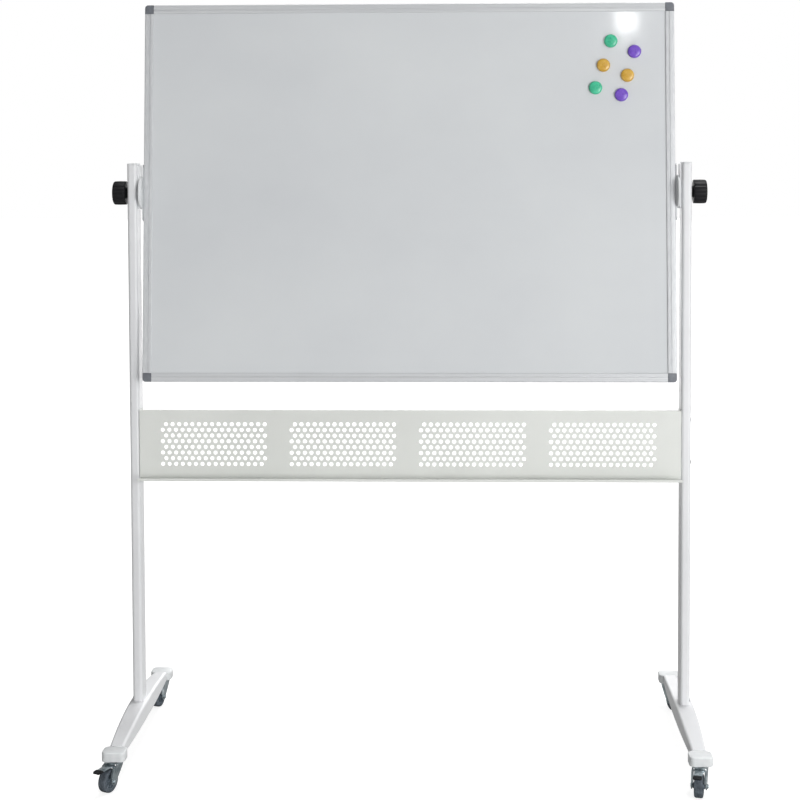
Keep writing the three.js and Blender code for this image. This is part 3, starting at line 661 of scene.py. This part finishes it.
def make_friction_disc(name, side):
    low, high = span(f"friction_disc_{name}")
    radius, thick = (high.z - low.z) / 2, high.x - low.x
    profile = [(STUD_BORE, 0), (radius - 1, 0)] + arc((radius - 1, 1), 1, -60, 0, 3)
    profile += [(radius, thick - 0.3), (radius - 0.3, thick), (radius - 9, thick), (radius - 10, thick - 0.5)]
    profile += [(12, thick - 0.5), (11, thick), (STUD_BORE, thick), (STUD_BORE, 0)]
    inner = low.x if side > 0 else high.x
    disc = moved(turned(profile, 72), at(inner, PIVOT.y, PIVOT.z) @ facing(side))
    make(f"pivot_washer_{name}", disc, WHITE_PLASTIC, "stand", [f"friction_disc_{name}"])


def make_bracket(name, side):
    """A plate with two flat screw heads on the board's stile, and its threaded stud."""
    low, high = span(f"pivot_bracket_{name}", BOARD)
    start = low.x if side > 0 else high.x
    length = high.x - low.x
    height, depth, thick = high.z - low.z, high.y - low.y, BRACKET_PLATE
    plate = prism(rounded_rectangle(height, depth, depth / 2 - 0.6, 10), 0, thick)
    plate = moved(plate, TO_X)
    if side < 0:
        plate = moved(plate, Matrix.Scale(-1, 4, (1, 0, 0)))
    screws = []
    for lift in (-0.36, 0.36):
        head = turned([(0, thick), (4.2, thick), (4.1, thick + 0.25), (0, thick + 0.28)], 32)
        screws.append(moved(head, at(0, 0, lift * height) @ facing(side)))
    stud = [(0, thick - 1)]
    for i in range(int((length - thick) / THREAD_PITCH)):
        stud += [(THREAD_ROOT, thick + i * THREAD_PITCH), (THREAD_CREST, thick + (i + 0.5) * THREAD_PITCH)]
    stud += [(4.2, length), (0, length)]
    stud = moved(turned(stud, 32), facing(side))
    shape = moved(together(plate, stud, *screws), at(start, 0, 0))
    node = f"pivot_bracket_{name}"
    make(f"pivot_plate_{name}", shape, ALUMINIUM_UP, "board", [node], BOARD, edge=0.3)


def knob_ring(radius, flute, height):
    """A ring of the grip, with flutes of that depth between its lobes."""
    steps = KNOB_LOBES * LOBE_STEPS
    ring = []
    for i in range(steps):
        angle = 2 * math.pi * i / steps
        dip = max(0.0, math.cos(KNOB_LOBES * angle)) ** 2
        reach = radius - flute * dip
        ring.append((reach * math.cos(angle), reach * math.sin(angle), height))
    return ring


def make_knob(name, side):
    low, high = span(f"knob_{name}")
    radius, length = (high.z - low.z) / 2, high.x - low.x
    start = low.x if side > 0 else high.x
    neck, rim, shoulder = KNOB_NECK, KNOB_RIM, KNOB_SHOULDER
    rings = [knob_ring(radius - 5, 0, neck)]
    for angle in (0, 30, 60, 90):
        a = math.radians(angle)
        reach = radius - rim + rim * math.sin(a)
        rings.append(knob_ring(reach - KNOB_TAPER, KNOB_FLUTE, neck + rim - rim * math.cos(a)))
    rings.append(knob_ring(radius, KNOB_FLUTE, (neck + length) / 2))
    for angle in (0, 18, 36, 54, 72, 90):
        a = math.radians(angle)
        reach = radius - KNOB_TAPER - shoulder + shoulder * math.cos(a)
        flute = KNOB_FLUTE * math.cos(a / 1.01)
        rings.append(knob_ring(reach, flute, length - shoulder + shoulder * math.sin(a)))
    rings += [knob_ring(13.5, 0, length), knob_ring(12.8, 0, length - 0.8), knob_ring(4, 0, length - 0.5)]
    collar = [(STUD_BORE, 0), (12, 0), (12.5, 0.5), (12.5, neck - 0.6), (13.4, neck + 0.4)]
    collar += [(STUD_BORE, neck + 0.4), (STUD_BORE, 0)]
    knob = together(loft(rings), turned(collar, 64))
    knob = moved(knob, at(start, PIVOT.y, PIVOT.z) @ facing(side))
    make(f"clamp_knob_{name}", knob, BLACK_PLASTIC, f"knob_{name}", [f"knob_{name}"])


# ---------------------------------------------------------------- board

FRAME_FACE = 20
FRAME_ROUND = 2.6
GROOVE = (10.9, 12.7, 1.4)  # its start and end from the board's edge, and its depth
LIP_BACK = 2.4  # from the frame's face to where the sheets go in
CORNER_ROUND = 7.5
CORNER_CLEARANCE = 0.2  # to the rail and the stile
MAGNET_RIM = 0.7  # how much less the crown's radius is than the magnet's
# Outline of a magnet's crown, as shares of the crown's radius and of the magnet's height.
MAGNET_DOME = ((0.98, 0.66), (0.94, 0.77), (0.86, 0.86), (0.74, 0.92), (0.56, 0.965), (0.3, 0.99))


def frame_section(thickness):
    """Outline with x inwards from the board's edge and y through the board. The back mirrors the front."""
    half = thickness / 2
    start, end, depth = GROOVE
    lip = arc((FRAME_FACE - 0.9, half - 0.9), 0.9, 0, 90, 4)
    face = [(end + 0.25, half), (end, half - 0.25), (end - 0.1, half - depth), (start + 0.1, half - depth)]
    face += [(start, half - 0.25), (start - 0.25, half)]
    edge = arc((FRAME_ROUND, half - FRAME_ROUND), FRAME_ROUND, 90, 180, 8)
    slot = [(FRAME_FACE, half - LIP_BACK), (end, half - LIP_BACK)]
    front = list(reversed(slot)) + lip + face + edge
    return front + [(x, -y) for x, y in reversed(front)]


def make_rail(node, turn, name, material):
    low, high = span(node, BOARD)
    centre = (low + high) / 2
    size = high - low
    length = max(size.x, size.z)
    outline = frame_section(size.y)
    half = FRAME_FACE / 2
    rings = [[(x, y, half - along) for along, y in outline] for x in (-length / 2, length / 2)]
    rail = moved(loft(rings), at(*centre) @ Matrix.Rotation(turn, 4, "Y"))
    make(name, rail, material, "board", [node], BOARD)


def make_corner(node, turn, name):
    low, high = span(node, BOARD)
    centre = (low + high) / 2
    half = (high.x - low.x) / 2
    thick = (high.y - low.y) / 2
    start = -half + CORNER_CLEARANCE
    rings = []
    for inset, y in ((1.6, -thick), (0.7, 0.25 - thick), (0.2, 0.8 - thick), (0, 1.7 - thick),
                     (0, thick - 1.7), (0.2, thick - 0.8), (0.7, thick - 0.25), (1.6, thick)):
        reach = half - inset
        middle = reach - CORNER_ROUND + inset / 2
        outline = [(start, start), (reach, start)]
        outline += arc((middle, middle), CORNER_ROUND - inset / 2, 0, 90, 10)
        outline += [(start, reach)]
        rings.append([(x, y, z) for x, z in outline])
    corner = moved(loft(rings), at(*centre) @ Matrix.Rotation(turn, 4, "Y"))
    make(name, corner, GREY_PLASTIC, "board", [node], BOARD)


def make_magnet(node):
    low, high = span(node, BOARD)
    centre = (low + high) / 2
    radius, height = (high.x - low.x) / 2, high.y - low.y
    profile = [(0, 0), (radius - 0.6, 0)] + arc((radius - 0.6, 0.6), 0.6, -90, 0, 3)
    profile += [(radius, height * 0.42), (radius - 0.5, height * 0.5), (radius - MAGNET_RIM, height * 0.56)]
    crown = radius - MAGNET_RIM
    profile += [(crown * a, height * b) for a, b in MAGNET_DOME] + [(0, height)]
    place = at(centre.x, high.y, centre.z) @ Matrix.Rotation(math.pi / 2, 4, "X")
    colour = node.split("_")[1]
    make(f"{node}_cap", moved(turned(profile, 48), place), MAGNET_COLOURS[colour], node, [node],
         BOARD)


# ---------------------------------------------------------------- casters

WHEEL_X, WHEEL_Z = 24, 25  # the axle, in the caster's frame
TYRE_RADIUS, TYRE_INNER = 25, 17.8
TYRE_HALF = 9
RIBS = 8
FORK_SHEET = 2.2
FORK_BEND = 4.0  # radius between the crown and the legs
FORK_COLUMNS = 12
FORK_LEG_HEIGHTS = (17.2, 17.8, 19, 21, 23, 25, 30, 35, 40, 45, 50, 54)
SHOULDER_DROP = 5  # from the top of the fork to where the legs start to narrow
CROWN_RADIUS = 16.5
LEG_TOP = (-8.2, 14.2)  # front and back edges of a leg at the shoulder
LEG_MIDDLE = (16.2, 32.0)  # the same at the axle's height
LEG_END_RADIUS = 7.9
TURNED_IN = 3  # width of the stiffening edges inside the legs
EDGE_SHEET = 1.6
WEB_SHEET = 1.4
WEB_BOTTOM = 57.2
AXLE_NUT = 3.5  # height of the nut, with the axle's end
PEDAL_PLATE = 1.8
PEDAL_PAD = 15  # length of the black pad over the tip


def fork_range(y, z, top):
    """Front and back edges of the fork's sheet at a point of its U-shaped path."""
    shoulder = top - SHOULDER_DROP
    if z > shoulder + 4:
        return -math.sqrt(max(0, CROWN_RADIUS ** 2 - y * y)) * 0.98, 19 - 0.018 * y * y
    if z >= WHEEL_Z:
        drop = max(0.0, (shoulder - z) / (shoulder - WHEEL_Z))
        front = LEG_TOP[0] + (LEG_MIDDLE[0] - LEG_TOP[0]) * drop ** 1.15
        return front, LEG_TOP[1] + (LEG_MIDDLE[1] - LEG_TOP[1]) * drop ** 0.3
    reach = math.sqrt(max(0.3, LEG_END_RADIUS ** 2 - (WHEEL_Z - z) ** 2))
    return WHEEL_X - reach, WHEEL_X + reach


def make_fork(name, place):
    """A U of sheet metal: its middle surface is drawn and then thickened."""
    low, high = span(f"caster_fork_{name}", place)
    half, top = (high.y - low.y) / 2, high.z
    path = [(-half, z) for z in FORK_LEG_HEIGHTS]
    path += [(-half + FORK_BEND - x, z) for x, z in arc((0, top - FORK_BEND), FORK_BEND, 0, 60, 3)]
    path += [(-half + FORK_BEND + half / 4 * i, top) for i in range(1, 5)]
    path = [(y, z) for y, z in path if y < 0]
    path += [(0, top)] + [(-y, z) for y, z in reversed(path)]
    row = FORK_COLUMNS + 1
    points, faces = [], []
    for y, z in path:
        a, b = fork_range(y, z, top)
        points += [Vector((a + (b - a) * i / FORK_COLUMNS, y, z)) for i in range(row)]
    for k in range(0, len(points) - row, row):
        faces += [(k + i, k + i + 1, k + row + i + 1, k + row + i) for i in range(FORK_COLUMNS)]
    mesh = bpy.data.meshes.new("fork")
    mesh.from_pydata([place @ point * MM for point in points], [], faces)
    piece = bpy.data.objects.new("fork", mesh)
    bpy.context.scene.collection.objects.link(piece)
    thicken = piece.modifiers.new("sheet", "SOLIDIFY")
    thicken.thickness = FORK_SHEET * MM
    thicken.offset = -1
    thicken.use_even_offset = True
    settle(piece)
    mesh = piece.data
    bpy.data.objects.remove(piece)
    body = f"caster_{name}"
    adopt(f"fork_{name}", mesh, ZINC, body, [f"caster_fork_{name}"], edge=0.35)
    make_fork_edges(name, place, half, top)


def make_fork_edges(name, place, half, top):
    """Stiffening edges turned in along the fork's legs, and the turned-down end of its crown."""
    edges = []
    for side in SIDES.values():
        inner, outer = side * (half - FORK_SHEET - TURNED_IN), side * (half - FORK_SHEET / 2)
        rings = []
        for z in range(31, 56, 2):
            rear = fork_range(half, z, top)[1]
            front = rear - EDGE_SHEET
            rings.append([(front, inner, z), (rear, inner, z), (rear, outer, z), (front, outer, z)])
        edges.append(loft(rings))
    rings = []
    for y in range(-12, 13, 2):
        rear = fork_range(y, top, top)[1] - 0.2
        front = rear - WEB_SHEET
        high = top - 1
        rings.append([(front, y, WEB_BOTTOM), (rear, y, WEB_BOTTOM), (rear, y, high), (front, y, high)])
    edges.append(loft(rings))
    make(f"fork_edges_{name}", together(*edges), ZINC, f"caster_{name}", [], place, edge=0.3)


def make_stem(name, place):
    """The swivel pin, with its rivet head inside the fork and the bearing race above it."""
    low, high = span(f"caster_stem_{name}", place)
    top = high.z
    under = span(f"caster_fork_{name}", place)[1].z + GAP
    over = span(f"foot_cap_{name}", place)[0].z - GAP
    middle = (under + over) / 2
    profile = [(0, low.z), (5.6, low.z), (6.8, low.z + 0.8), (7, low.z + 2.3), (4.8, low.z + 2.3)]
    profile += [(4.8, under)]
    profile += [(13.6, under), (14.7, under + 0.3), (15, middle), (14.7, over - 0.3), (13.6, over)]
    profile += [(4.8, over), (4.8, top - 0.6), (4.2, top), (0, top)]
    make(f"swivel_race_{name}", turned(profile, 56), ZINC, "stand", [f"caster_stem_{name}"], place)


def make_wheel(name, place):
    """The tyre, with two fine grooves in its tread, and a ribbed wheel centre."""
    centre = at(WHEEL_X, 0, WHEEL_Z) @ TO_Y
    body = f"wheel_{name}"
    tread = [(TYRE_INNER, -7.6), (18.6, -8.6), (20, -TYRE_HALF), (22.6, -TYRE_HALF + 0.1)]
    tread += [(24.2, -7.9), (24.8, -6), (TYRE_RADIUS, -3.5), (TYRE_RADIUS, -2.6), (24.5, -2.3), (24.5, -1.8)]
    tread += [(TYRE_RADIUS, -1.5)]
    tyre = tread + [(radius, -height) for radius, height in reversed(tread)] + [tread[0]]
    tyre = moved(turned(tyre, 72), centre)
    make(f"tyre_{name}", tyre, TYRE, body, [f"caster_tyre_{name}"], place)
    web = [(3.3, -13.4), (5.4, -13.4), (6, -12.8), (6.6, -5), (8, -3), (14, -3), (15.2, -4.2), (15.6, -7.4)]
    web += [(16.2, -7.8), (17.5, -7.8)]
    hub = web + [(radius, -height) for radius, height in reversed(web)] + [web[0]]
    ribs = []
    for i in range(RIBS):
        turn = Matrix.Rotation(2 * math.pi * i / RIBS, 4, "Z")
        ribs += [moved(brick((6, -0.8, z), (15.6, 0.8, z + 3.6)), turn) for z in (-6.2, 2.6)]
    shape = moved(together(turned(hub, 64), *ribs), centre)
    make(f"wheel_centre_{name}", shape, HUB, body, [f"caster_hub_{name}"], place, edge=0.2)


def make_axle(name, place):
    """A bolt with a low rivet head on one side and a washer and nut on the other."""
    low, high = span(f"caster_axle_{name}", place)
    face = high.y - AXLE_NUT
    end = face + 3.5
    shank = turned([(0, -face - 0.2), (2.9, -face - 0.2), (2.9, face + 3), (2.5, end), (0, end)], 32)
    head = turned([(0, -face), (4.9, -face), (4.7, -face - 0.5), (3.6, low.y + 0.2), (0, low.y)], 40)
    nut = hexagon(8.6, face, high.y - 0.7)
    under, over = face - 0.25, face + 0.1
    washer = turned([(3, under), (5, under), (5, over), (3, over), (3, under)], 32)
    shape = moved(together(shank, head, nut, washer), at(WHEEL_X, 0, WHEEL_Z) @ TO_Y)
    make(f"axle_bolt_{name}", shape, ZINC, f"caster_{name}", [f"caster_axle_{name}"], place, edge=0.2)


def crowned_plate(stations, thickness, crown=0.4):
    """A plate along X, from (x, half width, top) stations, a little higher along its middle."""
    rings = []
    for x, half, z in stations:
        top = [(y * half, z + crown * (1 - y * y)) for y in (-1, -0.85, -0.5, 0, 0.5, 0.85, 1)]
        under = [(y, height - thickness) for y, height in reversed(top)]
        rings.append([(x, y, height) for y, height in top + under])
    return loft(rings)


def make_pedal(name, place):
    """A pressed steel lever with its pin and brake shoe, and a moulded black pad on its tip."""
    node = f"brake_pedal_{name}"
    tip = span(node, place)[1].x
    pad_start = tip - PEDAL_PAD
    stations = [(13.3, 10.2, 56), (17, 10.6, 56.3), (24, 10.4, 56.2), (30, 9.6, 56), (36, 9.1, 55.8)]
    stations += [(pad_start + 2, 8.6, 55.4), (tip - 2, 8.2, 54.6)]
    lever = crowned_plate(stations, PEDAL_PLATE)
    ears = [brick((13.5, y - 0.9, 52.6), (22.5, y + 0.9, 56)) for y in (-9.7, 9.7)]
    shoe = moved(prism([(14, 52.5), (24, 52.5), (29, 54.4), (29, 55.2), (14, 55.6)], -7, 7), FRONT_VIEW)
    pin = turned([(0, -13.6), (1.9, -13.6), (1.9, 13.6), (0, 13.6)], 24)
    pin = moved(pin, at(17, 0, 54.5) @ TO_Y)
    body = f"brake_{name}"
    make(f"pedal_{name}", together(lever, *ears, shoe, pin), ZINC, body, [node], place, edge=0.3)
    stations = [(pad_start, 8.6, 56), (pad_start + 0.6, 9.4, 56.3), (tip - 8, 9.6, 56.2)]
    stations += [(tip - 5, 9.6, 55.9), (tip - 2, 8.6, 55.5), (tip - 0.6, 7, 55.2), (tip, 5.2, 55)]
    pad = crowned_plate(stations, 3, 0.6)
    ridges = [brick((tip - x, -8.2, 55.5), (tip - x + 1.4, 8.2, 57)) for x in (13, 10, 7)]
    pad = together(pad, *ridges)
    make(f"pedal_pad_{name}", pad, BLACK_PLASTIC, body, [], place, edge=0.3)


# ---------------------------------------------------------------- camera, light and floor

VIEW_DISTANCE = 3640  # in front of the posts
VIEW_SIDE = 133.7
VIEW_HEIGHT = 1355.3
VIEW_PITCH = 2.67  # degrees down
VIEW_YAW = 1.73  # degrees to the left
VIEW_ROLL = -0.19
LENS = 72.5
SHIFT = (-0.0239, -0.2139)
SURROUND_LIGHT = 0.34  # mean radiance of the surround as a light
SURROUND_LEAN = (0.3, 0, 0)  # how that grows to the right, to the back and upwards
SURROUND_LEAST = 0.02
SURROUND_SEEN = 1.0  # its radiance as the camera sees it
FLOOR_GLOW = 0.8
FLOOR_REACH = 30  # metres


def make_camera(stand_y):
    camera = bpy.data.cameras.new("camera")
    camera.lens = LENS
    camera.sensor_width = 36
    camera.shift_x, camera.shift_y = SHIFT
    camera.clip_end = 100
    holder = bpy.data.objects.new("camera", camera)
    bpy.context.scene.collection.objects.link(holder)
    place = Vector((VIEW_SIDE, stand_y - VIEW_DISTANCE, VIEW_HEIGHT)) * MM
    turn = Matrix.Rotation(math.radians(VIEW_YAW), 4, "Z")
    turn = turn @ Matrix.Rotation(math.radians(90 - VIEW_PITCH), 4, "X")
    turn = turn @ Matrix.Rotation(math.radians(VIEW_ROLL), 4, "Z")
    holder.matrix_world = Matrix.Translation(place) @ turn
    bpy.context.scene.camera = holder


def make_light(name, place, target, width, height, radiance):
    """A soft box that faces its target. Radiance is 1 where it would look just white."""
    light = bpy.data.lights.new(name, "AREA")
    light.shape = "RECTANGLE"
    light.size, light.size_y = width, height
    light.energy = radiance * math.pi * width * height
    holder = bpy.data.objects.new(name, light)
    holder.location = place
    holder.rotation_euler = (Vector(target) - Vector(place)).to_track_quat("-Z", "Y").to_euler()
    holder.visible_camera = False
    bpy.context.scene.collection.objects.link(holder)


def make_overhead_light(direction, energy, spread):
    """Wide, even light from above."""
    light = bpy.data.lights.new("overhead", "SUN")
    light.energy = energy
    light.angle = math.radians(spread)
    holder = bpy.data.objects.new("overhead", light)
    holder.rotation_euler = Vector(direction).to_track_quat("-Z", "Y").to_euler()
    bpy.context.scene.collection.objects.link(holder)


def make_world():
    """A white surround that lights the object softly, and more from the right than from the left."""
    world = bpy.data.worlds.new("studio")
    bpy.context.scene.world = world
    world.use_nodes = True
    nodes, links = world.node_tree.nodes, world.node_tree.links
    glow = nodes["Background"]
    glow.inputs["Color"].default_value = (1, 1, 1, 1)
    lean = nodes.new("ShaderNodeVectorMath")
    lean.operation = "DOT_PRODUCT"
    lean.inputs[1].default_value = SURROUND_LEAN
    links.new(nodes.new("ShaderNodeTexCoord").outputs["Generated"], lean.inputs[0])
    strength = nodes.new("ShaderNodeMath")
    strength.operation = "ADD"
    strength.inputs[1].default_value = SURROUND_LIGHT
    links.new(lean.outputs["Value"], strength.inputs[0])
    lit = nodes.new("ShaderNodeMath")
    lit.operation = "MAXIMUM"
    lit.inputs[1].default_value = SURROUND_LEAST
    links.new(strength.outputs["Value"], lit.inputs[0])
    links.new(lit.outputs["Value"], glow.inputs["Strength"])
    seen = nodes.new("ShaderNodeBackground")
    seen.inputs["Color"].default_value = (1, 1, 1, 1)
    seen.inputs["Strength"].default_value = SURROUND_SEEN
    mix = nodes.new("ShaderNodeMixShader")
    links.new(nodes.new("ShaderNodeLightPath").outputs["Is Camera Ray"], mix.inputs["Fac"])
    links.new(glow.outputs["Background"], mix.inputs[1])
    links.new(seen.outputs["Background"], mix.inputs[2])
    links.new(mix.outputs["Shader"], nodes["World Output"].inputs["Surface"])


def make_floor():
    finish = Finish("floor", 0.8)
    finish.colour("a8a8a7", "b0b0af", finish.noise(0.8, 2))
    finish.glow_for_camera(FLOOR_GLOW)
    mesh = bpy.data.meshes.new("floor")
    reach = FLOOR_REACH
    corners = [(-reach, -reach, 0), (reach, -reach, 0), (reach, reach, 0), (-reach, reach, 0)]
    mesh.from_pydata(corners, [], [(0, 1, 2, 3)])
    mesh.materials.append(finish.material)
    floor = bpy.data.objects.new("floor", mesh)
    bpy.context.scene.collection.objects.link(floor)


def make_studio():
    """Soft boxes round the object, light from above, and a small lamp for a bright spot on glossy faces."""
    make_world()
    make_overhead_light((-0.14, -0.15, -0.98), 1.65, 16)
    make_light("side", (3.0, -4.4, 0.9), (0.1, 0, 0.9), 2.6, 3.0, 8.1)
    make_light("fill", (-3.2, -4.4, 1.2), (-0.1, 0, 0.9), 2.6, 3.0, 1.2)
    make_light("back", (0, 4.6, 1.4), (0, 0, 0.9), 2.6, 3.0, 2.2)
    make_light("lamp", (0.9, -3.98, 2.75), (0, 0, 1.0), 0.1, 0.1, 30)
    make_floor()
    bpy.context.scene.view_settings.view_transform = "Standard"


# ---------------------------------------------------------------- assembly

def paint_kept_nodes():
    """CAD nodes whose flat shape is already right only get their material."""
    kept = {"writing_sheet_front": WRITING_FACE, "writing_sheet_back": WRITING_FACE, "board_core": CORE}
    for node, material in kept.items():
        slots = frame["nodes"][node].data.materials
        slots.clear()
        slots.append(material)


def build():
    for name, side in SIDES.items():
        make_post(name, side)
        make_post_cap(name)
        make_foot(name)
        make_friction_disc(name, side)
        make_bracket(name, side)
        make_knob(name, side)
        make_foot_screw(name, side)
        for level in ("lower", "upper"):
            make_panel_bolt(name, level, side)
    make_panel()
    quarter = math.pi / 2  # of a turn
    make_rail("frame_rail_top", 0, "rail_top", ALUMINIUM_ACROSS)
    make_rail("frame_rail_bottom", 2 * quarter, "rail_bottom", ALUMINIUM_ACROSS)
    make_rail("frame_stile_right", quarter, "stile_right", ALUMINIUM_UP)
    make_rail("frame_stile_left", -quarter, "stile_left", ALUMINIUM_UP)
    for turn, corner in enumerate(("top_right", "bottom_right", "bottom_left", "top_left")):
        make_corner(f"frame_corner_{corner}", turn * quarter, f"corner_{corner}")
    for node in frame["record"]["behaviour"]["bodies"]:
        if node.startswith("magnet_"):
            make_magnet(node)
    for end in ("front", "rear"):
        for name in SIDES:
            caster = f"{end}_{name}"
            place = caster_frame(caster)
            make_foot_cap(caster)
            make_stem(caster, place)
            make_fork(caster, place)
            make_wheel(caster, place)
            make_axle(caster, place)
            if end == "front":
                make_pedal(caster, place)
    paint_kept_nodes()


make_camera(PIVOT.y)
build()
make_studio()
